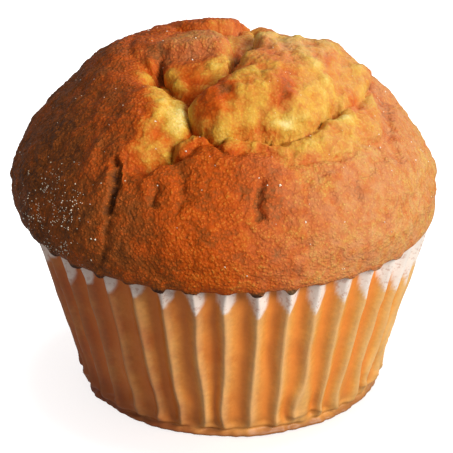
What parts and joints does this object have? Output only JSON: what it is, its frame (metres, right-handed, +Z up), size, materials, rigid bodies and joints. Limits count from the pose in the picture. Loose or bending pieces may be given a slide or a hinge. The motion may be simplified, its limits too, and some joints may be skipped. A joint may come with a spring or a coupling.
{
  "type": "corn muffin",
  "caption": "Cracked, domed corn muffin standing in the pleated paper cup that it was baked in.",
  "frame": {"origin": "centre of the flat bottom that the paper cup stands on", "axes": "+Z up along the cup's axis; -Y is the front, the side with the big crack; +X is to the right of a viewer who faces that front"},
  "size_m": [0.0712, 0.0712, 0.0609],
  "materials": {
    "crumb": "matt, coarse-grained baked corn crust, golden to dark brown, with yellow crumb in the cracks",
    "paper": "thin pleated baking paper, soaked amber by fat, with dry white patches along the rim"
  },
  "bodies": {
    "root": {"muffin": "crumb", "paper_cup": "paper"}
  },
  "joints": []
}
